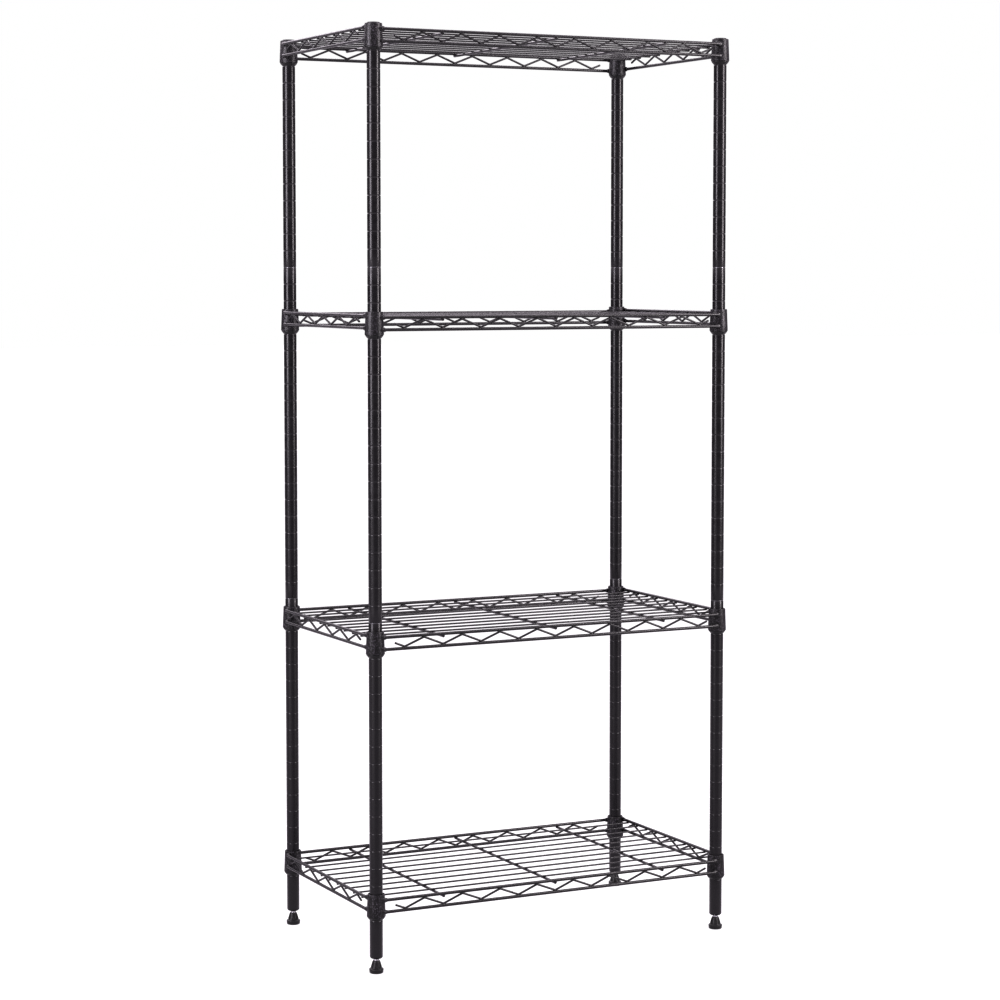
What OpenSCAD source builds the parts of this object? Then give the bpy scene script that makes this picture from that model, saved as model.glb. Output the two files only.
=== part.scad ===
// Four-shelf wire rack: four screwed-together grooved posts, split sleeves that
// clip on the grooves, and welded wire shelves that wedge down over the sleeves.
// X runs along the shelves, Y from front to back and Z up from the floor.

/* [Posts] */
// Distance between post centres along the shelves
post_span = 571.5; // [450:0.5:900]
// Distance between post centres from front to back
post_depth = 317.5; // [290:0.5:450]
// Outside diameter of a post tube
post_d = 19; // [18:0.5:22]
// Wall thickness of a post tube
post_wall = 1.2; // [1.0:0.1:1.4]
// Height of the bottom end of the post tubes
post_bottom = 24; // [22:0.5:40]
// Spacing of the height grooves
groove_pitch = 25.4; // [24:0.1:27]
// Depth of a height groove
groove_depth = 0.4; // [0.3:0.05:0.6]
// Length of the plain stretch below the lowest groove
plain_foot = 50; // [5:1:70]
// Height of the seam between the lower and middle tubes
lower_seam = 509; // [500:0.5:520]
// Number of groove spacings in a middle tube
middle_grooves = 20; // [20:1:21]

/* [Shelves] */
// Groove that each shelf clips on, counted from the lower seam
shelf_grooves = [-16, -1, 17, 33]; // [-16:1:33]
// Height of a corner collar
collar_h = 33; // [30:0.5:40]
// Wall thickness of a corner collar
collar_wall = 1.5; // [1.5:0.1:2]
// Distance of the rim wires outside the post centres
rim_out = 12; // [12:0.1:12.5]
// Height between the upper and lower rim wires
rim_gap = 17.5; // [17:0.5:20]

/* [Wires] */
// Diameter of the rim wires
rim_d = 4.6; // [4.4:0.1:5.2]
// Diameter of the cross wires under the deck
cross_d = 4; // [3.8:0.1:4.6]
// Diameter of the deck wires
deck_d = 2.5; // [2.3:0.1:3]
// Diameter of the zigzag truss wires
truss_d = 3; // [2.6:0.1:3.2]
// Spacing of the deck wires
deck_pitch = 30.4; // [28:0.1:32]
// Length of one wave of the long truss wires
long_wave = 61.25; // [58:0.25:64]
// Length of one wave of the short truss wires
short_wave = 59.2; // [58:0.2:64]

/* [Feet] */
// Diameter of the foot pad
foot_d = 21; // [20:0.5:24]
// Diameter of the foot's threaded stud
stud_d = 7.84; // [7.6:0.02:7.9]
// Radial clearance between the stud and what it turns in
stud_gap = 0.05; // [0.02:0.01:0.09]

/* [Hidden] */
$fn = 48;
BLACK = [0.13, 0.12, 0.14];
PLASTIC = [0.08, 0.08, 0.09];
STEEL = [0.72, 0.72, 0.74];

CORNERS = [["front_left", -1, -1], ["front_right", 1, -1],
           ["back_left", -1, 1], ["back_right", 1, 1]];
SECTIONS = ["lower", "middle", "upper"];
SHELVES = [1, 2, 3, 4];
SHELF_PARTS = ["collars", "rim_wires", "truss_wires", "deck_wires", "cross_wires",
               "sleeves_inner", "sleeves_outer"];
POST_PARTS = ["joiners", "cap", "foot_insert", "foot_stud", "foot_pad"];

post_r = post_d / 2;
bore_r = post_r - post_wall;
// Half heights of a groove, at the tube's surface and at its floor
groove_mouth = 1.0;
groove_floor = 0.4;
// Least length between a groove and the end of its tube
plain_end = 5;
// Radius of every plug pressed into a tube end
plug_r = bore_r - 0.05;

// Joiners: a flanged stud in the upper tube screws into a nut in the lower one
upper_seam = lower_seam + middle_grooves * groove_pitch;
flange_t = 1.2;
flange_r = post_r - 0.25;
joiner_l = 20;
joiner_thread_r = 5;

// Shelf heights, measured from the groove that holds the sleeves
collar_above = 13;
collar_below = collar_h - collar_above;
function groove_z(shelf) = lower_seam + shelf_grooves[shelf - 1] * groove_pitch;
function collar_top(shelf) = groove_z(shelf) + collar_above;
post_top = groove_z(4) + 11.8;
cap_t = 3;

// Sleeve cone, and the collar bore that fits over it
sleeve_top_r = post_r + 1.1;
sleeve_foot_r = post_r + 2.4;
seat_gap = 0.3;
lip_r = sleeve_foot_r + 0.8;
lip_h = 1.2;
chamfer_h = 3.3;
sleeve_in_r = post_r + 0.05;
rib_r = post_r - groove_depth / 2;
half_turn = 178;

// Wire heights below the collar top. Welds sink crossing wires into each other.
front_rim_drop = 8;
weld_cross = 0.8;
weld_deck = 0.4;
weld_side = 0.45;
weld_truss = 1.05;
cross_drop = front_rim_drop + (rim_d + cross_d) / 2 - weld_cross;
deck_drop = cross_drop - (cross_d + deck_d) / 2 + weld_deck;
side_rim_drop = deck_drop - (deck_d + rim_d) / 2 + weld_side;

rim_x = post_span / 2 + rim_out;
rim_y = post_depth / 2 + rim_out;
// Gap from a post centre to the cut end of a rim wire
rim_short = 7.5;
long_rim = post_span - 2 * rim_short;
short_rim = post_depth - 2 * rim_short;
deck_l = 2 * (rim_x + 1.5);
cross_l = 2 * (rim_y + 1.5);
deck_count = floor((post_depth - 40) / deck_pitch) + 1;
cross_every = 3;
long_waves = floor((post_span - 40) / long_wave);
short_waves = floor((post_depth - 40) / short_wave);
truss_rise = rim_gap - rim_d - truss_d + 2 * weld_truss;
// How much thicker the wire is where it bends
knuckle_extra = 0.3;

// Feet
pad_h = 18.4;
stud_low = 10;
stud_l = 42;
insert_low = post_bottom - 2.5;
insert_l = 20;

// Puts the children at one corner
module at_corner(c) {
    translate([c[1] * post_span / 2, c[2] * post_depth / 2, 0])
        children();
}

// Four points of one groove in a tube's outline, from the bottom up
function groove(z) = [[post_r, z - groove_mouth], [post_r - groove_depth, z - groove_floor],
                      [post_r - groove_depth, z + groove_floor], [post_r, z + groove_mouth]];

// Tube from z0 to z1 with chamfered ends and grooves at the given heights
module grooved_tube(z0, z1, grooves) {
    chamfer = 0.4;
    outline = concat(
        [[bore_r, z0], [post_r - chamfer, z0], [post_r, z0 + chamfer]],
        [for (z = grooves, point = groove(z)) point],
        [[post_r, z1 - chamfer], [post_r - chamfer, z1], [bore_r, z1]]);
    rotate_extrude() polygon(outline);
}

module post_section(c, section) {
    z0 = section == "lower" ? post_bottom :
         (section == "middle" ? lower_seam : upper_seam) + flange_t / 2;
    z1 = section == "upper" ? post_top :
         (section == "lower" ? lower_seam : upper_seam) - flange_t / 2;
    first = ceil((z0 + (section == "lower" ? plain_foot : plain_end) - lower_seam) / groove_pitch);
    last = floor((z1 - plain_end - lower_seam) / groove_pitch);
    color(BLACK)
        at_corner(c)
            grooved_tube(z0, z1, [for (i = [first:last]) lower_seam + i * groove_pitch]);
}

// Stud plug of the upper tube and nut plug of the lower tube, at height z
module joiner(z) {
    rotate_extrude()
        polygon([[0, z - joiner_l + 2], [joiner_thread_r - 1, z - joiner_l + 2],
                 [joiner_thread_r - 0.05, z - joiner_l + 3], [joiner_thread_r - 0.05, z - flange_t / 2],
                 [flange_r, z - flange_t / 2], [flange_r, z + flange_t / 2],
                 [plug_r, z + flange_t / 2], [plug_r, z + joiner_l - 1],
                 [plug_r - 1, z + joiner_l], [0, z + joiner_l]]);
    rotate_extrude()
        polygon([[joiner_thread_r, z - joiner_l], [plug_r - 1, z - joiner_l],
                 [plug_r, z - joiner_l + 1], [plug_r, z - flange_t / 2],
                 [joiner_thread_r, z - flange_t / 2]]);
}

module joiners(c) {
    color(STEEL)
        at_corner(c)
            for (z = [lower_seam, upper_seam])
                joiner(z);
}

// Closing cap with a domed edge and a hollow plug
module cap(c) {
    cap_r = post_r - 0.1;
    edge = 1.2;
    shank = 12;
    rounding = [for (a = [0:15:90]) [cap_r - edge + edge * cos(a), cap_t - edge + edge * sin(a)]];
    color(PLASTIC)
        at_corner(c)
            translate([0, 0, post_top])
                rotate_extrude()
                    polygon(concat([[0, 0], [plug_r - 1.5, 0], [plug_r - 1.5, -shank],
                                    [plug_r - 0.5, -shank], [plug_r, -shank + 2], [plug_r, 0],
                                    [cap_r, 0]], rounding, [[0, cap_t]]));
}

// Plug in the post's lower end, threaded for the foot's stud
module foot_insert(c) {
    hole_r = stud_d / 2 + stud_gap;
    color(PLASTIC)
        at_corner(c)
            translate([0, 0, insert_low])
                rotate_extrude()
                    polygon([[hole_r, 0], [post_r - 1.9, 0], [post_r - 0.2, 1.7], [post_r - 0.2, 2.5],
                             [plug_r, 2.5], [plug_r, insert_l], [plug_r - 1, insert_l + 2],
                             [hole_r, insert_l + 2]]);
}

module foot_stud(c) {
    lead = 0.8;
    r = stud_d / 2;
    color(STEEL)
        at_corner(c)
            translate([0, 0, stud_low])
                rotate_extrude()
                    polygon([[0, 0], [r, 0], [r, stud_l - lead], [r - lead, stud_l], [0, stud_l]]);
}

// Moulded foot: a round base with a cone that grips the stud
module foot_pad(c) {
    hole_r = stud_d / 2 + stud_gap;
    r = foot_d / 2;
    base_h = 6.4;
    color(PLASTIC)
        at_corner(c)
            rotate_extrude()
                polygon([[0, 0], [r - 1, 0], [r - 0.3, 0.8], [r, base_h - 0.7], [r - 0.7, base_h],
                         [r - 2, base_h + 0.5], [hole_r + 1.1, pad_h - 0.3],
                         [hole_r + 0.8, pad_h], [hole_r, pad_h], [hole_r, stud_low], [0, stud_low]]);
}

// Half of a split sleeve, in the half plane x > 0: a cone, a lip and a groove rib
module sleeve_half(shelf) {
    g = groove_z(shelf);
    foot_z = g - collar_below;
    outline = [[sleeve_in_r, foot_z - lip_h - chamfer_h],
               [sleeve_in_r + 0.5, foot_z - lip_h - chamfer_h],
               [lip_r, foot_z - lip_h], [lip_r, foot_z], [sleeve_foot_r, foot_z],
               [sleeve_top_r, g + collar_above - 1], [sleeve_in_r, g + collar_above - 1],
               [sleeve_in_r, g + 0.9], [rib_r, g + 0.4], [rib_r, g - 0.4], [sleeve_in_r, g - 0.9]];
    rotate([0, 0, -half_turn / 2])
        rotate_extrude(angle = half_turn)
            polygon(outline);
}

// Four sleeve halves of one shelf, on the inner or outer side of the posts
module sleeves(shelf, side) {
    for (c = CORNERS)
        color(PLASTIC)
            at_corner(c)
                rotate([0, 0, side * c[1] > 0 ? 0 : 180])
                    sleeve_half(shelf);
}

// Collar whose tapered bore wedges down over a sleeve
module collars(shelf) {
    top = collar_top(shelf);
    low = top - collar_h;
    in_top = sleeve_top_r + seat_gap;
    in_low = sleeve_foot_r + seat_gap;
    edge = 0.5;
    for (c = CORNERS)
        color(BLACK)
            at_corner(c)
                rotate_extrude()
                    polygon([[in_low, low], [in_low + collar_wall - edge, low],
                             [in_low + collar_wall, low + edge], [in_top + collar_wall, top - edge],
                             [in_top + collar_wall - edge, top], [in_top, top]]);
}

// Straight wire of diameter d and length l along X or Y, centred
module wire_x(d, l) {
    rotate([0, 90, 0]) cylinder(d = d, h = l, center = true);
}

module wire_y(d, l) {
    rotate([90, 0, 0]) cylinder(d = d, h = l, center = true);
}

// Upper and lower rim wires on all four sides
module rim_wires(shelf) {
    top = collar_top(shelf);
    color(BLACK) {
        for (side = [-1, 1], drop = [0, rim_gap]) {
            translate([0, side * rim_y, top - front_rim_drop - drop])
                wire_x(rim_d, long_rim);
            translate([side * rim_x, 0, top - side_rim_drop - drop])
                wire_y(rim_d, short_rim);
        }
    }
}

// Zigzag wire in the XZ plane, centred, with an odd number of rounded corners.
// start is 1 where the outer corners point up and -1 where they point down.
module zigzag(wave, waves, start) {
    rise = truss_rise;
    slope = atan2(rise, wave / 2);
    leg = norm([rise, wave / 2]);
    corners = 2 * waves + 1;
    for (i = [0:corners - 1]) {
        up = i % 2 == 0 ? start : -start;
        translate([(i - waves) * wave / 2, 0, up * rise / 2]) {
            sphere(d = truss_d + knuckle_extra);
            if (i < corners - 1)
                rotate([0, 90 + up * slope, 0])
                    cylinder(d = truss_d, h = leg);
        }
    }
    // Half legs with free ends
    for (end = [-1, 1])
        translate([end * waves * wave / 2, 0, start * rise / 2])
            rotate([0, end * (90 + start * slope), 0])
                cylinder(d = truss_d, h = leg / 2);
}

// Truss wires between the rim wires of all four sides
module truss_wires(shelf) {
    top = collar_top(shelf);
    color(BLACK) {
        for (side = [-1, 1]) {
            translate([0, side * rim_y, top - front_rim_drop - rim_gap / 2])
                zigzag(long_wave, long_waves, -1);
            translate([side * rim_x, 0, top - side_rim_drop - rim_gap / 2])
                rotate([0, 0, 90])
                    zigzag(short_wave, short_waves, 1);
        }
    }
}

// Deck wires, laid on the cross wires and welded under the side rims
module deck_wires(shelf) {
    color(BLACK)
        for (i = [0:deck_count - 1])
            translate([0, (i - (deck_count - 1) / 2) * deck_pitch, collar_top(shelf) - deck_drop])
                wire_x(deck_d, deck_l);
}

// Cross wires from front to back, welded under the front and back rims
module cross_wires(shelf) {
    color(BLACK)
        for (i = [-1:1])
            translate([i * cross_every * long_wave, 0, collar_top(shelf) - cross_drop])
                wire_y(cross_d, cross_l);
}

for (s = SECTIONS, c = CORNERS)
    post_section(c, s);
for (c = CORNERS) {
    joiners(c);
    cap(c);
    foot_insert(c);
    foot_stud(c);
    foot_pad(c);
}
for (n = SHELVES) {
    collars(n);
    rim_wires(n);
    truss_wires(n);
    deck_wires(n);
    cross_wires(n);
    sleeves(n, -1);
    sleeves(n, 1);
}
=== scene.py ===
"""Looks for the wire shelving rack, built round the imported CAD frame. Metres throughout."""

import itertools
import math
import random

import bpy
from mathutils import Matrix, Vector


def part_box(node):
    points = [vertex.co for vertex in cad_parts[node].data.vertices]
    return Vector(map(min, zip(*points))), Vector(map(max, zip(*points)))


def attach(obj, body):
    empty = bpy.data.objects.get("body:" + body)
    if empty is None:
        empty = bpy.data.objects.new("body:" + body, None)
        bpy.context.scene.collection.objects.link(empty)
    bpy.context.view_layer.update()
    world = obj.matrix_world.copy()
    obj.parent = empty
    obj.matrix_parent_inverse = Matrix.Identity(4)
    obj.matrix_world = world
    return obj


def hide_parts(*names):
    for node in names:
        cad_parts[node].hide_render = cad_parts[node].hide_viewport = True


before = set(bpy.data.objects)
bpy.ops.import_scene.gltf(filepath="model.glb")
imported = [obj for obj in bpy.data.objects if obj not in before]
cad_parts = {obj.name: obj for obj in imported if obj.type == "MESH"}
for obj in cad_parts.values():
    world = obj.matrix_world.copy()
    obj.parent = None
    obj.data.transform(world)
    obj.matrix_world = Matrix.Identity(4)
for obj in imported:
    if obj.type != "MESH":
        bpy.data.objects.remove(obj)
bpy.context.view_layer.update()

MM = 0.001
TURN = 2 * math.pi
CORNERS = ("front_left", "front_right", "back_left", "back_right")
SECTIONS = ("lower", "middle", "upper")
SHELVES = (1, 2, 3, 4)

# Driving dimensions, as the CAD has them
GROOVE_PITCH = 25.4 * MM
GROOVE_DEPTH = 0.4 * MM
GROOVE_HALF = 1.0 * MM
PLAIN_FOOT = 50 * MM
PLAIN_END = 5 * MM
TUBE_WALL = 1.2 * MM
COLLAR_WALL = 1.5 * MM
RIM_D = 4.6 * MM
RIM_GAP = 17.5 * MM
CROSS_D = 4 * MM
CROSS_COUNT = 3
DECK_D = 2.5 * MM
DECK_COUNT = 10
TRUSS_D = 3 * MM
TRUSS_RISE = 12 * MM
TRUSS_BEND = 4.5 * MM
LONG_WAVE = 61.25 * MM
LONG_WAVES = 8
SHORT_WAVE = 59.2 * MM
SHORT_WAVES = 4
RIM_INSET = 7.5 * MM
COLLAR_TAPER = 1.3 * MM
COLLAR_BELOW = 20 * MM
STUD_D = 7.84 * MM
STUD_LEAD = 1.25 * MM
STUD_GAP = 0.05 * MM

# Weld beads: half length, half width and half height
DECK_END_BEAD = (2.4 * MM, 1.9 * MM, 1.9 * MM)
DECK_CROSS_BEAD = (2.3 * MM, 2.2 * MM, 1.2 * MM)
CROSS_END_BEAD = (3.2 * MM, 2 * MM, 1.8 * MM)
TRUSS_BEAD = (3.6 * MM, 1.7 * MM, 1.5 * MM)
RIM_END_BEAD = (6.5 * MM, 2.6 * MM, 3.6 * MM)

# Camera: a long lens in front on the left, three quarters of the way up
CAMERA_PLACE = (-1.7895, -3.5534, 1.0104)
CAMERA_YAW = math.radians(26.65)
CAMERA_PITCH = math.radians(-3.909)
CAMERA_SHIFT = -0.05
LENS = 93.87
SENSOR = 36
VIEW_DEPTH = 100

# Soft boxes: name, place, target, size, radiance and tint
SOFTBOXES = (
    ("softbox_left", (-2.4, -0.4, 1.75), (-0.3, 0, 1.75), (1.0, 2.2), 12, (0.98, 0.94, 1.0)),
    ("softbox_right", (1.6, -1.7, 1.75), (0.2, 0, 1.75), (0.75, 2.2), 15, (1.0, 0.95, 0.97)),
    ("low_left", (-2.2, -0.9, 0.25), (-0.3, 0, 0.25), (2.0, 0.9), 1.2, (1.0, 0.95, 0.98)),
    ("low_right", (1.5, -1.9, 0.25), (0.2, 0, 0.25), (1.4, 0.9), 1.2, (1.0, 0.95, 0.96)),
    ("overhead", (0, 0, 3.4), (0, 0, 0), (2.6, 2.6), 3.0, (1.0, 0.95, 1.0)),
    ("behind", (0, 3.0, 2.8), (0, 0, 2.0), (5.0, 2.0), 2.2, (1.0, 0.95, 1.0)),
)
WHITE = (1, 1, 1)
SURROUND_TINT = (1.0, 0.925, 1.02)
TONE_GAMMA = 1 / 1.5
FLOOR_HALF = 30.0
FLOOR_GLOW = 0.82

# Base colours, darkest and lightest
POST_BLACK = ((0.009, 0.0080, 0.0094), (0.0120, 0.0108, 0.0126))
WIRE_BLACK = ((0.009, 0.0084, 0.0094), (0.0120, 0.0113, 0.0126))
COLLAR_BLACK = ((0.003, 0.0027, 0.0032), (0.0060, 0.0054, 0.0064))
PLASTIC_BLACK = ((0.007, 0.007, 0.0073), (0.011, 0.011, 0.0114))
DUST = (0.20, 0.19, 0.18)


# ---------------------------------------------------------------- camera, light and floor

def make_camera():
    """Camera at the reference viewing angle, with no depth of field."""
    data = bpy.data.cameras.new("camera")
    camera = bpy.data.objects.new("camera", data)
    bpy.context.scene.collection.objects.link(camera)
    data.sensor_width = SENSOR
    data.lens = LENS
    data.shift_y = CAMERA_SHIFT
    data.clip_end = VIEW_DEPTH
    camera.location = CAMERA_PLACE
    camera.rotation_euler = (math.pi / 2 + CAMERA_PITCH, 0, -CAMERA_YAW)
    bpy.context.scene.camera = camera


def make_softbox(name, place, target, size, radiance, tint):
    """A soft area light of a given brightness, aimed at a point, that no view sees directly."""
    data = bpy.data.lights.new(name, "AREA")
    data.shape = "RECTANGLE"
    data.size, data.size_y = size
    data.energy = radiance * math.pi * size[0] * size[1]
    data.color = tint
    light = bpy.data.objects.new(name, data)
    light.location = place
    light.rotation_euler = (Vector(target) - Vector(place)).to_track_quat("-Z", "Y").to_euler()
    light.visible_camera = False
    bpy.context.scene.collection.objects.link(light)


def socket_of(sockets, identifier):
    """The socket with an identifier, for nodes whose sockets share their names."""
    return next(s for s in sockets if s.identifier == identifier)


def make_surround():
    """White to the camera. To everything else it is dim at eye level, where the studio is dark,
    and brighter and faintly purple towards the ceiling and the floor."""
    world = bpy.data.worlds.new("surround")
    world.use_nodes = True
    nodes, links = world.node_tree.nodes, world.node_tree.links
    parts = nodes.new("ShaderNodeSeparateXYZ")
    links.new(nodes.new("ShaderNodeTexCoord").outputs["Generated"], parts.inputs["Vector"])
    slope = nodes.new("ShaderNodeMath")
    slope.operation = "ABSOLUTE"
    links.new(parts.outputs["Z"], slope.inputs[0])
    dim = nodes.new("ShaderNodeMapRange")
    for socket, number in (("From Min", 0.04), ("From Max", 0.2), ("To Min", 0.04), ("To Max", 1.4)):
        dim.inputs[socket].default_value = number
    links.new(slope.outputs["Value"], dim.inputs["Value"])
    camera_ray = nodes.new("ShaderNodeLightPath").outputs["Is Camera Ray"]
    seen = nodes.new("ShaderNodeMapRange")
    seen.inputs["To Max"].default_value = 1.0
    links.new(dim.outputs["Result"], seen.inputs["To Min"])
    links.new(camera_ray, seen.inputs["Value"])
    tint = nodes.new("ShaderNodeMix")
    tint.data_type = "RGBA"
    socket_of(tint.inputs, "A_Color").default_value = (*SURROUND_TINT, 1)
    socket_of(tint.inputs, "B_Color").default_value = (*WHITE, 1)
    links.new(camera_ray, tint.inputs["Factor"])
    background = nodes["Background"]
    links.new(socket_of(tint.outputs, "Result_Color"), background.inputs["Color"])
    links.new(seen.outputs["Result"], background.inputs["Strength"])
    bpy.context.scene.world = world


def make_studio():
    """Upright soft boxes left and right with dim ones below, one overhead and one behind."""
    for box in SOFTBOXES:
        make_softbox(*box)
    make_surround()
    view = bpy.context.scene.view_settings
    view.view_transform = "Standard"
    view.gamma = TONE_GAMMA


def make_floor(material):
    """A wide flat floor under the rack. Glossy parts don't mirror it, only the dim surround."""
    half = FLOOR_HALF
    corners = [(-half, -half, 0), (half, -half, 0), (half, half, 0), (-half, half, 0)]
    mesh = bpy.data.meshes.new("floor")
    mesh.from_pydata(corners, [], [(0, 1, 2, 3)])
    mesh.materials.append(material)
    floor = bpy.data.objects.new("floor", mesh)
    floor.visible_glossy = False
    bpy.context.scene.collection.objects.link(floor)


# ---------------------------------------------------------------- materials

class Surface:
    """A node material with short calls for the nodes that these finishes share."""

    def __init__(self, name):
        self.material = bpy.data.materials.new(name)
        self.material.use_nodes = True
        self.tree = self.material.node_tree
        self.shader = self.tree.nodes["Principled BSDF"]
        self.coords = self.tree.nodes.new("ShaderNodeTexCoord").outputs["Object"]

    def link(self, out, into):
        """Joins an output to an input."""
        self.tree.links.new(out, into)

    def noise(self, scale, detail=2.0, rough=0.5, stretch=(1, 1, 1)):
        """Noise fixed to the object, stretched along its axes."""
        mapping = self.tree.nodes.new("ShaderNodeMapping")
        mapping.inputs["Scale"].default_value = stretch
        self.link(self.coords, mapping.inputs["Vector"])
        node = self.tree.nodes.new("ShaderNodeTexNoise")
        node.inputs["Scale"].default_value = scale
        node.inputs["Detail"].default_value = detail
        node.inputs["Roughness"].default_value = rough
        self.link(mapping.outputs["Vector"], node.inputs["Vector"])
        return node.outputs["Fac"]

    def spread(self, value, low, high, to_low=0.0, to_high=1.0):
        """Maps a range of values to another range, and clamps what lies outside."""
        node = self.tree.nodes.new("ShaderNodeMapRange")
        for socket, number in zip(("From Min", "From Max", "To Min", "To Max"),
                                  (low, high, to_low, to_high)):
            node.inputs[socket].default_value = number
        self.link(value, node.inputs["Value"])
        return node.outputs["Result"]

    def maths(self, kind, a, b):
        """A sum or product of numbers or outputs."""
        node = self.tree.nodes.new("ShaderNodeMath")
        node.operation = kind
        for socket, value in zip(node.inputs, (a, b)):
            if isinstance(value, (int, float)):
                socket.default_value = value
            else:
                self.link(value, socket)
        return node.outputs["Value"]

    def mix(self, factor, colour_a, colour_b):
        """A blend of two colours."""
        node = self.tree.nodes.new("ShaderNodeMix")
        node.data_type = "RGBA"
        self.link(factor, node.inputs["Factor"])
        for name, colour in (("A_Color", colour_a), ("B_Color", colour_b)):
            socket = socket_of(node.inputs, name)
            if isinstance(colour, tuple):
                socket.default_value = (*colour, 1)
            else:
                self.link(colour, socket)
        return socket_of(node.outputs, "Result_Color")

    def bump(self, height, strength, distance, under=None):
        """A bumped normal, over another one if given."""
        node = self.tree.nodes.new("ShaderNodeBump")
        node.inputs["Strength"].default_value = strength
        node.inputs["Distance"].default_value = distance
        self.link(height, node.inputs["Height"])
        if under:
            self.link(under, node.inputs["Normal"])
        return node.outputs["Normal"]

    def upward(self):
        """1 on faces that look up, 0 on the rest."""
        normal = self.tree.nodes.new("ShaderNodeNewGeometry").outputs["Normal"]
        parts = self.tree.nodes.new("ShaderNodeSeparateXYZ")
        self.link(normal, parts.inputs["Vector"])
        return self.spread(parts.outputs["Z"], 0.25, 1.0)

    def set(self, **values):
        """Sets or links the shader's sockets by name."""
        for name, value in values.items():
            socket = self.shader.inputs[name.replace("_", " ")]
            if isinstance(value, (int, float)):
                socket.default_value = value
            else:
                self.link(value, socket)


def powder_coat(name, black, roughness, peel_scale, peel_depth, speckle_and_glint):
    """Black powder coat: orange peel, light flecks that are partly the coat's speckle and partly
    painted glints, and a trace of dust on what faces up.
    """
    dark, light = black
    s = Surface(name)
    blotch = s.spread(s.noise(38, 3), 0.35, 0.65)
    grain = s.noise(2600, 2, 0.6)
    colour = s.mix(blotch, dark, light)
    # Light flecks, lighter than the base colour: partly the coat's speckle, partly painted glints of
    # the orange peel.
    fleck_and_glint = tuple(c * (1 + 14 * speckle_and_glint) for c in light)
    colour = s.mix(s.spread(s.noise(480, 2, 0.7), 0.52, 0.70, 0, speckle_and_glint), colour, fleck_and_glint)
    dust = s.maths("MULTIPLY", s.upward(), s.spread(s.noise(170, 4, 0.65), 0.45, 0.75, 0, 0.16))
    colour = s.mix(dust, colour, DUST)
    rough = s.spread(s.noise(95, 3), 0.3, 0.7, roughness - 0.05, roughness + 0.06)
    rough = s.maths("ADD", rough, s.maths("MULTIPLY", dust, 0.9))
    fine = s.bump(grain, 0.25, 0.05 * MM)
    normal = s.bump(s.noise(peel_scale, 1.5), 0.6, peel_depth, fine)
    s.set(Base_Color=colour, Roughness=rough, Normal=normal)
    s.shader.inputs["Specular IOR Level"].default_value = 0.5
    return s.material


def moulded_plastic(name, roughness):
    """Black moulded plastic with an etched grain and slight flow marks."""
    dark, light = PLASTIC_BLACK
    s = Surface(name)
    flow = s.noise(60, 3, 0.55, (1, 1, 0.3))
    grain = s.noise(3400, 2, 0.7)
    colour = s.mix(s.spread(flow, 0.3, 0.7), dark, light)
    rough = s.spread(grain, 0.3, 0.7, roughness - 0.07, roughness + 0.07)
    s.set(Base_Color=colour, Roughness=rough, Normal=s.bump(grain, 0.35, 0.04 * MM))
    return s.material


def bright_steel(name, clean, dull):
    """Zinc-plated turned steel: fine rings round the axis and a few dull spots."""
    s = Surface(name)
    rings = s.noise(30, 2, 0.6, (1, 1, 160))
    spots = s.spread(s.noise(420, 3), 0.52, 0.72)
    colour = s.mix(spots, clean, dull)
    rough = s.maths("ADD", s.spread(rings, 0.3, 0.7, 0.22, 0.38), s.maths("MULTIPLY", spots, 0.15))
    s.set(Base_Color=colour, Roughness=rough, Normal=s.bump(rings, 0.3, 0.03 * MM), Metallic=0.85)
    return s.material


def floor_paint(name):
    """Matt white studio floor, lit from within so that it blends into the white surround."""
    s = Surface(name)
    colour = s.mix(s.noise(3, 4, 0.6), (0.11, 0.11, 0.11), (0.13, 0.13, 0.13))
    s.set(Base_Color=colour, Roughness=0.8)
    s.shader.inputs["Emission Color"].default_value = (*WHITE, 1)
    s.shader.inputs["Emission Strength"].default_value = FLOOR_GLOW
    return s.material


# ---------------------------------------------------------------- mesh building

class Shape:
    """Vertices and faces of a piece, gathered from several closed forms."""

    def __init__(self):
        self.verts = []
        self.faces = []

    def add(self, verts, faces):
        """Adds one form; its faces count its own vertices."""
        first = len(self.verts)
        self.verts += [tuple(v) for v in verts]
        self.faces += [tuple(first + i for i in f) for f in faces]


def piece(name, shape, body, slot, material, *nodes, sharp=35):
    """Turns a shape into a piece that rides on a body and stands for CAD nodes."""
    mesh = bpy.data.meshes.new(name)
    mesh.from_pydata(shape.verts, [], shape.faces)
    mesh.validate()
    mesh.shade_smooth()
    mesh.set_sharp_from_angle(angle=math.radians(sharp))
    mesh.materials.append(material)
    obj = bpy.data.objects.new(name, mesh)
    bpy.context.scene.collection.objects.link(obj)
    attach(obj, body)
    if nodes:
        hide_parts(*nodes)
    return obj


def rounded(corners, closed=True, steps=4):
    """An outline through corners (a, b, radius), each rounded to its own radius."""
    outline = []
    for i, (a, b, radius) in enumerate(corners):
        here = Vector((a, b))
        if radius == 0 or (not closed and i in (0, len(corners) - 1)):
            outline.append(here)
            continue
        before = Vector(corners[i - 1][:2]) - here
        after = Vector(corners[(i + 1) % len(corners)][:2]) - here
        half = before.angle(after) / 2
        reach = min(radius / math.tan(half), 0.48 * before.length, 0.48 * after.length)
        first, last = here + reach * before.normalized(), here + reach * after.normalized()
        for k in range(steps + 1):
            t = k / steps
            outline.append((1 - t) ** 2 * first + 2 * t * (1 - t) * here + t * t * last)
    return outline


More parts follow.
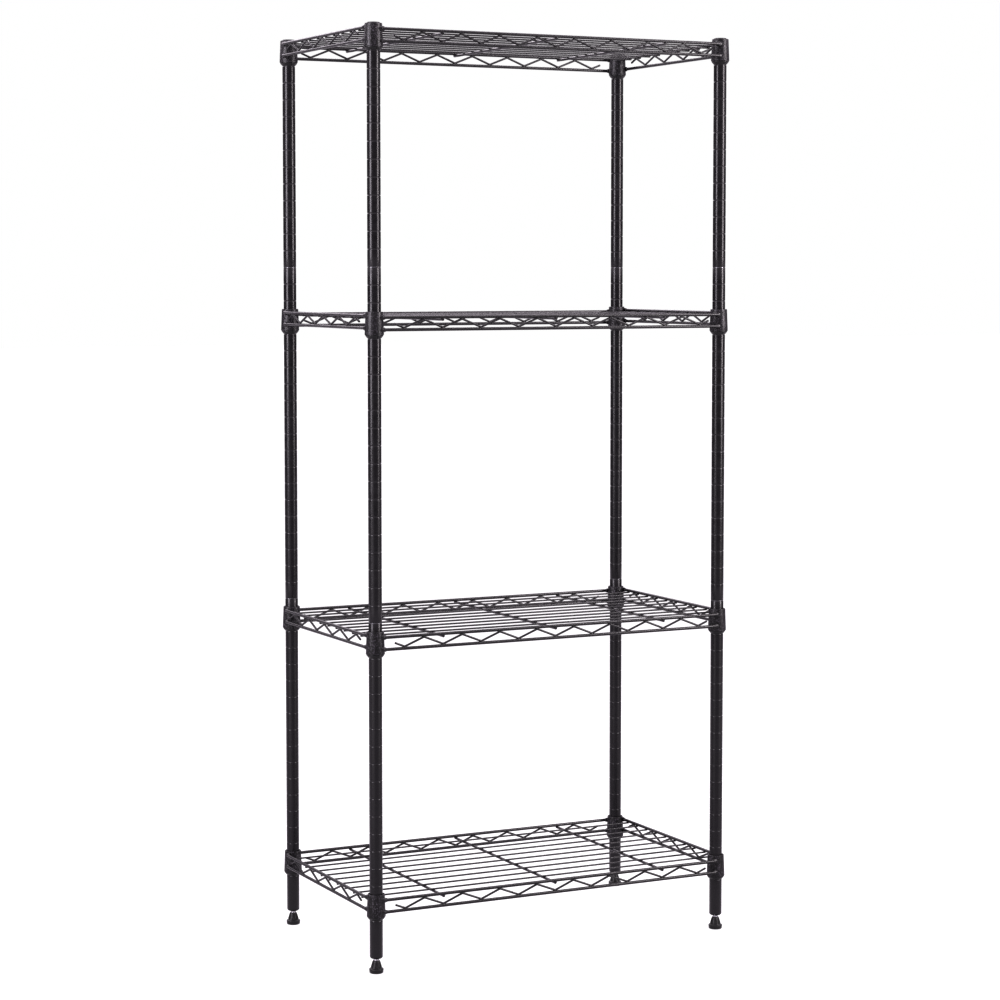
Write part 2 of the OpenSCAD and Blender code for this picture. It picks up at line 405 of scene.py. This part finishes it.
def lathe(shape, outline, centre, segments=64, closed=True, radius_at=None):
    """Turns an outline of (r, z) points a full turn about the vertical through centre.
    A closed outline makes a ring; an open one starts and ends on the axis."""
    verts, rings = [], []
    for r, z in outline:
        count = 1 if r < 1e-7 else segments
        rings.append([len(verts) + i for i in range(count)])
        for i in range(count):
            a = TURN * i / segments
            here = radius_at(r, z, a) if radius_at else r
            verts.append((centre.x + here * math.cos(a), centre.y + here * math.sin(a), z))
    faces = []
    pairs = zip(rings, rings[1:] + rings[:1]) if closed else zip(rings, rings[1:])
    for low, high in pairs:
        for i in range(segments):
            j = (i + 1) % segments
            quad = [low[i % len(low)], low[j % len(low)], high[j % len(high)], high[i % len(high)]]
            face = [v for k, v in enumerate(quad) if v not in quad[:k]]
            if len(face) > 2:
                faces.append(face)
    shape.add(verts, faces)


def lathe_part(shape, outline, centre, start, turn, segments=32):
    """Turns a closed outline part of a turn, and closes both ends with flat faces."""
    verts, count = [], len(outline)
    for k in range(segments + 1):
        a = start + turn * k / segments
        verts += [(centre.x + r * math.cos(a), centre.y + r * math.sin(a), z) for r, z in outline]
    faces = [list(range(count - 1, -1, -1)), [segments * count + i for i in range(count)]]
    for k in range(segments):
        for i in range(count):
            j = (i + 1) % count
            faces.append([k * count + i, k * count + j, (k + 1) * count + j, (k + 1) * count + i])
    faces = [f[::-1] for f in faces]
    shape.add(verts, faces)


def sweep(shape, path, diameter, sides=14):
    """Round wire along a path in 3-D, with chamfered cut ends."""
    radius, chamfer = diameter / 2, 0.12 * diameter
    points = [Vector(p) for p in path]
    tangents = [(b - a).normalized() for a, b in zip(points, points[1:])]
    joints = [tangents[0]] + [(a + b).normalized() for a, b in zip(tangents, tangents[1:])]
    joints.append(tangents[-1])
    stations = [(points[0], joints[0], radius - chamfer),
                (points[0] + chamfer * joints[0], joints[0], radius)]
    stations += [(p, t, radius) for p, t in zip(points[1:-1], joints[1:-1])]
    stations += [(points[-1] - chamfer * joints[-1], joints[-1], radius),
                 (points[-1], joints[-1], radius - chamfer)]
    side = joints[0].orthogonal().normalized()
    verts = []
    for point, tangent, r in stations:
        side = (side - side.dot(tangent) * tangent).normalized()
        other = tangent.cross(side)
        for i in range(sides):
            a = TURN * i / sides
            verts.append(point + r * (math.cos(a) * side + math.sin(a) * other))
    count = len(stations)
    faces = [list(range(sides - 1, -1, -1)), [(count - 1) * sides + i for i in range(sides)]]
    for k in range(count - 1):
        for i in range(sides):
            j = (i + 1) % sides
            faces.append([k * sides + i, k * sides + j, (k + 1) * sides + j, (k + 1) * sides + i])
    shape.add(verts, faces)


def bead(shape, centre, half_sizes, along, seed, rings=6, sides=12):
    """A weld bead: a slightly lumpy blob, longest along one direction."""
    rng = random.Random(seed)
    axis = Vector(along).normalized()
    side = axis.orthogonal().normalized()
    up = Vector((0, 0, 1))
    if abs(axis.dot(up)) < 0.9:
        side = axis.cross(up).normalized()
    other = axis.cross(side)
    length, width, height = half_sizes
    phase, lump = rng.uniform(0, TURN), rng.uniform(0.04, 0.10)
    verts = [Vector(centre) - length * axis]
    for k in range(1, rings):
        a = math.pi * k / rings
        for i in range(sides):
            b = TURN * i / sides
            swell = math.sin(a) * (1 + lump * math.sin(3 * b + phase) * math.sin(2 * a + phase))
            verts.append(Vector(centre) - length * math.cos(a) * axis
                         + swell * (width * math.cos(b) * side + height * math.sin(b) * other))
    verts.append(Vector(centre) + length * axis)
    last = len(verts) - 1
    faces = []
    for i in range(sides):
        j = (i + 1) % sides
        faces.append([0, 1 + j, 1 + i])
        faces.append([last, last - sides + i, last - sides + j])
        for k in range(rings - 2):
            low = 1 + k * sides
            faces.append([low + i, low + j, low + sides + j, low + sides + i])
    shape.add(verts, faces)


# ---------------------------------------------------------------- places from the frame

def middle(node):
    """Middle of a node's box."""
    low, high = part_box(node)
    return (low + high) / 2


def half_width(node):
    """Half of the width of a node's box, which is the outer radius of a round part."""
    low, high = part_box(node)
    return (high.x - low.x) / 2


def post_centre(corner):
    """Middle of a post's lowest tube, which its axis runs through."""
    return middle("post_lower_" + corner)


def spread_out(low, high, count):
    """Evenly spaced numbers from low to high."""
    return [low + (high - low) * i / (count - 1) for i in range(count)]


# ---------------------------------------------------------------- posts

def groove_points(radius, z):
    """Rolled groove at height z, from below upwards, as a smooth dip in the tube. The level
    points on both sides of it keep the long straight stretches shaded as straight."""
    points = []
    for t in (-1.5, -1, -0.72, -0.45, -0.2, 0.2, 0.45, 0.72, 1, 1.5):
        dip = GROOVE_DEPTH * (0.5 + 0.5 * math.cos(math.pi * t)) if abs(t) < 1 else 0
        points.append(Vector((radius - dip, z + GROOVE_HALF * t)))
    return points


def seam_height():
    """Height of the lower seam, which the grooves are counted from."""
    return (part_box("post_lower_front_left")[1].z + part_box("post_middle_front_left")[0].z) / 2


def make_post(section, corner, material):
    """One tube of a post, with its grooves and rounded ends."""
    node = "post_" + section + "_" + corner
    low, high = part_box(node)
    outer = half_width(node)
    inner = outer - TUBE_WALL
    seam = seam_height()
    edge = 0.35 * MM
    plain_start = PLAIN_FOOT if section == "lower" else PLAIN_END
    first = math.ceil((low.z + plain_start - seam) / GROOVE_PITCH)
    last = math.floor((high.z - PLAIN_END - seam) / GROOVE_PITCH)
    outline = [Vector((inner, low.z)), Vector((outer - edge, low.z)),
               Vector((outer - 0.3 * edge, low.z + 0.3 * edge)), Vector((outer, low.z + edge))]
    for i in range(first, last + 1):
        outline += groove_points(outer, seam + i * GROOVE_PITCH)
    outline += [Vector((outer, high.z - edge)), Vector((outer - 0.3 * edge, high.z - 0.3 * edge)),
                Vector((outer - edge, high.z)), Vector((inner, high.z))]
    shape = Shape()
    lathe(shape, outline, middle(node), 72)
    piece("tube_" + section + "_" + corner, shape, "posts", "post_coat", material, node)


def make_joiners(corner, material):
    """Flanged stud and nut plugs of both seams, with a rounded bright flange between the tubes."""
    node = "joiners_" + corner
    centre, outer = middle(node), half_width(node)
    plug, stud = 8.25 * MM, 4.95 * MM
    flange, length, lead, nut_gap = 0.6 * MM, 20 * MM, 1 * MM, 2 * MM
    shape = Shape()
    for tube in ("post_lower_", "post_middle_"):
        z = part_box(tube + corner)[1].z + flange
        tip, bore = z - length + nut_gap, stud + STUD_GAP
        stud_plug = rounded([(0, tip, 0), (stud, tip, lead),
                             (stud, z - flange, 0), (outer, z - flange, 0.3 * MM),
                             (outer, z + flange, 0.3 * MM), (plug, z + flange, 0),
                             (plug, z + length, lead), (0, z + length, 0)], closed=False)
        nut_plug = rounded([(bore, z - length, 0), (plug, z - length, lead),
                            (plug, z - flange, 0), (bore, z - flange, 0)])
        lathe(shape, stud_plug, centre, 72, closed=False)
        lathe(shape, nut_plug, centre, 72)
    piece("joiner_set_" + corner, shape, "posts", "bright_steel", material, node)


def make_cap(corner, material):
    """Push-in cap: a shallow dome on a hollow plug."""
    node = "cap_" + corner
    low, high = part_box(node)
    outer = half_width(node)
    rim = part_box("post_upper_" + corner)[1].z
    plug, hollow = outer - 1.15 * MM, outer - 2.6 * MM
    outline = rounded([(0, rim, 0), (hollow, rim, 0), (hollow, low.z, 0.3 * MM),
                       (plug, low.z, 0.6 * MM), (plug, rim, 0), (outer, rim, 0.2 * MM),
                       (outer, high.z - 0.35 * MM, 1.3 * MM), (0.55 * outer, high.z, 4 * MM),
                       (0, high.z, 0)], closed=False, steps=6)
    shape = Shape()
    lathe(shape, outline, middle(node), 72, closed=False)
    piece("end_" + node, shape, "posts", "cap_plastic", material, node)


# ---------------------------------------------------------------- feet

def make_insert(corner, material):
    """Plug in the foot of a post, chamfered below, with the stud's hole."""
    node = "foot_insert_" + corner
    low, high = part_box(node)
    outer, hole = half_width(node), STUD_D / 2 + STUD_GAP
    rim, plug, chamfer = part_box("post_lower_" + corner)[0].z, outer - 1.05 * MM, 1.7 * MM
    outline = rounded([(hole, low.z, 0.3 * MM), (outer - chamfer, low.z, 0.5 * MM),
                       (outer, low.z + chamfer, 0.5 * MM), (outer, rim, 0.1 * MM), (plug, rim, 0),
                       (plug, high.z, 1 * MM), (hole, high.z, 0)])
    shape = Shape()
    lathe(shape, outline, middle(node), 64)
    piece("leg_" + node, shape, "posts", "foot_plastic", material, node)


def make_stud(corner, material):
    """Threaded stud, with a real helical thread."""
    node = "foot_stud_" + corner
    low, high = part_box(node)
    radius, depth, lead_in = STUD_D / 2, 0.6 * MM, 1.2 * MM
    rows_per_turn = 10
    rows = int((high.z - low.z) / STUD_LEAD * rows_per_turn)

    def thread(r, z, a):
        if r == 0:
            return r
        turn = (z - low.z) / STUD_LEAD - a / TURN
        crest = abs(2 * (turn - math.floor(turn)) - 1)
        fade = min(1.0, (z - low.z) / lead_in, (high.z - z) / lead_in)
        return r - depth * (1 - min(1.0, 1.25 * crest) * fade)

    outline = [(0, low.z), (radius, low.z)]
    outline += [(radius, low.z + (high.z - low.z) * i / rows) for i in range(1, rows)]
    outline += [(radius, high.z), (0, high.z)]
    shape = Shape()
    lathe(shape, outline, middle(node), 36, closed=False, radius_at=thread)
    piece("threaded_" + node, shape, "stud_" + corner, "bright_steel", material, node, sharp=50)


def make_pad(corner, material):
    """Moulded foot: a round base, and a cone with upright grip ribs."""
    node = "foot_pad_" + corner
    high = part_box(node)[1]
    outer, hole, hole_floor = half_width(node), STUD_D / 2 + STUD_GAP, 10 * MM
    base, cone_foot, cone_top = 6.4 * MM, outer - 2.6 * MM, hole + 0.75 * MM
    ribs, rib, run_out = 14, 0.5 * MM, 1.8 * MM
    cone_low, cone_high = base + 0.9 * MM, high.z - 0.4 * MM

    def ribbed(r, z, a):
        if not cone_low < z < cone_high or r < hole + 0.3 * MM:
            return r
        fade = min(1.0, (z - cone_low) / run_out, (cone_high - z) / run_out)
        return r + rib * fade * max(0.0, math.cos(ribs * a)) ** 0.6

    base_outline = rounded([(0, 0, 0), (outer - 1.2 * MM, 0, 0.6 * MM),
                            (outer - 0.4 * MM, 0.9 * MM, 0.6 * MM),
                            (outer, base - 0.9 * MM, 0.8 * MM), (outer - 0.8 * MM, base, 0.7 * MM),
                            (cone_foot + 0.5 * MM, base + 0.5 * MM, 0.5 * MM)], closed=False)
    cone = [(cone_foot + (cone_top - cone_foot) * t, cone_low + (cone_high - cone_low) * t)
            for t in (0, 0.06, 0.14, 0.25, 0.4, 0.55, 0.7, 0.82, 0.92, 1)]
    top_outline = rounded([(cone_top, high.z - 0.3 * MM, 0), (cone_top - 0.3 * MM, high.z, 0.3 * MM),
                           (hole, high.z, 0.1 * MM), (hole, hole_floor, 0), (0, hole_floor, 0)],
                          closed=False)
    outline = base_outline + [Vector(p) for p in cone] + top_outline
    shape = Shape()
    lathe(shape, outline, middle(node), 112, closed=False, radius_at=ribbed)
    piece("levelling_" + node, shape, "foot_" + corner, "foot_plastic", material, node)


# ---------------------------------------------------------------- shelves

def make_sleeves(shelf, side, material):
    """Four clip-on sleeve halves: a cone, a lip under the collar and a rib in the groove."""
    node = "shelf_%d_sleeves_%s" % (shelf, side)
    low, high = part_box(node)
    collar_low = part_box("shelf_%d_collars" % shelf)[0].z
    seam = seam_height()
    groove = seam + round((collar_low + COLLAR_BELOW - seam) / GROOVE_PITCH) * GROOVE_PITCH
    lip_height, rib_foot, rib_flat = 1.2 * MM, 0.9 * MM, 0.4 * MM
    half_angle = math.radians(89)
    shape = Shape()
    for corner in CORNERS:
        centre, tube = post_centre(corner), half_width("post_lower_" + corner)
        inner, top, foot, lip = (tube + d * MM for d in (0.05, 1.1, 2.4, 3.2))
        rib = inner - 0.32 * MM
        outline = rounded([(inner, low.z, 0), (inner + 0.5 * MM, low.z, 0.2 * MM),
                           (lip, collar_low - lip_height, 0.4 * MM), (lip, collar_low, 0.3 * MM),
                           (foot, collar_low, 0.1 * MM), (top, high.z, 0.4 * MM),
                           (inner, high.z, 0.1 * MM), (inner, groove + rib_foot, 0),
                           (rib, groove + rib_flat, 0.1 * MM), (rib, groove - rib_flat, 0.1 * MM),
                           (inner, groove - rib_foot, 0)], steps=3)
        faces_right = (centre.x > 0) == (side == "outer")
        facing = 0 if faces_right else math.pi
        lathe_part(shape, outline, centre, facing - half_angle, 2 * half_angle, 40)
    piece("sleeve_halves_%d_%s" % (shelf, side), shape, "posts", "sleeve_plastic", material, node)


def make_collars(shelf, material):
    """Tapered collars with pressed, rounded rims."""
    node = "shelf_%d_collars" % shelf
    low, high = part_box(node)
    shape = Shape()
    for corner in CORNERS:
        centre = post_centre(corner)
        outer_low = high.x - abs(centre.x)
        outer_top = outer_low - COLLAR_TAPER
        outline = rounded([(outer_low - COLLAR_WALL, low.z, 0.4 * MM), (outer_low, low.z, 0.7 * MM),
                           (outer_top, high.z, 0.7 * MM), (outer_top - COLLAR_WALL, high.z, 0.4 * MM)])
        lathe(shape, outline, centre, 72)
    piece("corner_collars_%d" % shelf, shape, "shelf_%d" % shelf, "collar_coat", material, node)


def rim_lines(shelf):
    """(middle of the wire, direction, half length) of every rim wire, upper ones first."""
    low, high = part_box("shelf_%d_rim_wires" % shelf)
    x, y = high.x - RIM_D / 2, high.y - RIM_D / 2
    side_top, long_low = high.z - RIM_D / 2, low.z + RIM_D / 2
    post = post_centre("front_left")
    half_long, half_short = abs(post.x) - RIM_INSET, abs(post.y) - RIM_INSET
    across, back = Vector((1, 0, 0)), Vector((0, 1, 0))
    lines = []
    for drop in (0, RIM_GAP):
        for side in (-1, 1):
            lines.append((Vector((0, side * y, long_low + RIM_GAP - drop)), across, half_long))
            lines.append((Vector((side * x, 0, side_top - drop)), back, half_short))
    return lines


def make_rims(shelf, material):
    """Upper and lower rim wires of all four sides."""
    shape = Shape()
    for centre, along, half in rim_lines(shelf):
        sweep(shape, [centre - half * along, centre + half * along], RIM_D, 20)
    piece("rims_%d" % shelf, shape, "shelf_%d" % shelf, "wire_coat", material,
          "shelf_%d_rim_wires" % shelf)


def zigzag(wave, waves, start):
    """Corners of a truss wire in its own plane, with half legs at both ends, bends rounded."""
    half_rise = TRUSS_RISE / 2
    corners = [(-(waves + 0.5) * wave / 2, 0, 0)]
    corners += [((i - waves) * wave / 2, half_rise * (start if i % 2 == 0 else -start), TRUSS_BEND)
                for i in range(2 * waves + 1)]
    corners.append(((waves + 0.5) * wave / 2, 0, 0))
    return rounded(corners, closed=False, steps=5)


def truss_places(shelf):
    """(middle, direction, wave length, waves, first bend up or down) of every truss wire."""
    places = []
    for centre, along, _ in rim_lines(shelf)[:4]:
        between_rims = centre - Vector((0, 0, RIM_GAP / 2))
        if along.x > 0.5:
            places.append((between_rims, along, LONG_WAVE, LONG_WAVES, -1))
        else:
            places.append((between_rims, along, SHORT_WAVE, SHORT_WAVES, 1))
    return places


def make_trusses(shelf, material):
    """Zigzag wires between the rims of all four sides."""
    shape = Shape()
    for centre, along, wave, waves, start in truss_places(shelf):
        path = [centre + p.x * along + Vector((0, 0, p.y)) for p in zigzag(wave, waves, start)]
        sweep(shape, path, TRUSS_D, 14)
    piece("trusses_%d" % shelf, shape, "shelf_%d" % shelf, "wire_coat", material,
          "shelf_%d_truss_wires" % shelf)


def deck_lines(shelf):
    """(y, height, half length) of every deck wire."""
    low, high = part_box("shelf_%d_deck_wires" % shelf)
    r = DECK_D / 2
    return [(y, (low.z + high.z) / 2, high.x) for y in spread_out(low.y + r, high.y - r, DECK_COUNT)]


def cross_lines(shelf):
    """(x, height, half length) of every cross wire."""
    low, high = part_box("shelf_%d_cross_wires" % shelf)
    r = CROSS_D / 2
    return [(x, (low.z + high.z) / 2, high.y) for x in spread_out(low.x + r, high.x - r, CROSS_COUNT)]


def make_deck(shelf, material):
    """Straight wires that carry the load, from side to side."""
    shape = Shape()
    for y, z, half in deck_lines(shelf):
        sweep(shape, [(-half, y, z), (half, y, z)], DECK_D, 16)
    piece("deck_%d" % shelf, shape, "shelf_%d" % shelf, "wire_coat", material,
          "shelf_%d_deck_wires" % shelf)


def make_cross(shelf, material):
    """Wires from front to back under the deck wires."""
    shape = Shape()
    for x, z, half in cross_lines(shelf):
        sweep(shape, [(x, -half, z), (x, half, z)], CROSS_D, 18)
    piece("cross_%d" % shelf, shape, "shelf_%d" % shelf, "wire_coat", material,
          "shelf_%d_cross_wires" % shelf)


def make_welds(shelf, material):
    """Coated weld beads where the wires cross and where the rims meet the collars."""
    shape = Shape()
    seeds = itertools.count(100 * shelf + 1)
    rims = rim_lines(shelf)
    long_rims = [centre for centre, along, _ in rims[:4] if along.x > 0.5]
    side_rims = [centre for centre, along, _ in rims[:4] if along.y > 0.5]
    across, back = Vector((1, 0, 0)), Vector((0, 1, 0))
    for y, z, _ in deck_lines(shelf):
        for rim in side_rims:
            bead(shape, (rim.x, y, (z + rim.z) / 2), DECK_END_BEAD, back, next(seeds))
        for x, cross_z, _ in cross_lines(shelf):
            bead(shape, (x, y, (z + cross_z) / 2), DECK_CROSS_BEAD, across, next(seeds))
    for x, z, _ in cross_lines(shelf):
        for rim in long_rims:
            bead(shape, (x, rim.y, (z + rim.z) / 2), CROSS_END_BEAD, across, next(seeds))
    bend_height = TRUSS_RISE / 2 + 1 * MM
    for centre, along, wave, waves, start in truss_places(shelf):
        for i in range(2 * waves + 1):
            up = start if i % 2 == 0 else -start
            spot = centre + (i - waves) * wave / 2 * along + Vector((0, 0, up * bend_height))
            bead(shape, spot, TRUSS_BEAD, along, next(seeds))
    post, shift = post_centre("front_left"), 1.2 * MM
    for centre, along, half in rims:
        for end in (-1, 1):
            tip = centre + end * (half - shift) * along
            axis = Vector((math.copysign(post.x, tip.x), math.copysign(post.y, tip.y), tip.z))
            spot = tip + shift * (axis - tip).normalized()
            bead(shape, spot, RIM_END_BEAD, along, next(seeds), 10, 16)
    piece("welds_%d" % shelf, shape, "shelf_%d" % shelf, "wire_coat", material)


# ---------------------------------------------------------------- the rack

def make_rack():
    """All the pieces of the rack, post by post and then shelf by shelf."""
    # The last number of each coat is its share of light flecks, which are partly speckle in the coat
    # and partly painted glints.
    post_coat = powder_coat("post_coat", POST_BLACK, 0.27, 700, 0.02 * MM, 0.1)
    wire_coat = powder_coat("wire_coat", WIRE_BLACK, 0.28, 900, 0.02 * MM, 0.1)
    # The collars have the most light flecks: partly the coat's speckle, partly painted glints.
    collar_coat = powder_coat("collar_coat", COLLAR_BLACK, 0.39, 430, 0.6 * MM, 1.0)
    sleeve_plastic = moulded_plastic("sleeve_plastic", 0.40)
    cap_plastic = moulded_plastic("cap_plastic", 0.38)
    foot_plastic = moulded_plastic("foot_plastic", 0.32)
    stud_steel = bright_steel("stud_steel", (0.72, 0.72, 0.74), (0.52, 0.51, 0.50))
    joiner_steel = bright_steel("joiner_steel", (0.17, 0.17, 0.18), (0.12, 0.115, 0.11))
    for corner in CORNERS:
        for section in SECTIONS:
            make_post(section, corner, post_coat)
        make_joiners(corner, joiner_steel)
        make_cap(corner, cap_plastic)
        make_insert(corner, foot_plastic)
        make_stud(corner, stud_steel)
        make_pad(corner, foot_plastic)
    for shelf in SHELVES:
        for side in ("inner", "outer"):
            make_sleeves(shelf, side, sleeve_plastic)
        make_collars(shelf, collar_coat)
        make_rims(shelf, wire_coat)
        make_trusses(shelf, wire_coat)
        make_deck(shelf, wire_coat)
        make_cross(shelf, wire_coat)
        make_welds(shelf, wire_coat)


make_camera()
make_studio()
make_floor(floor_paint("floor_paint"))
make_rack()
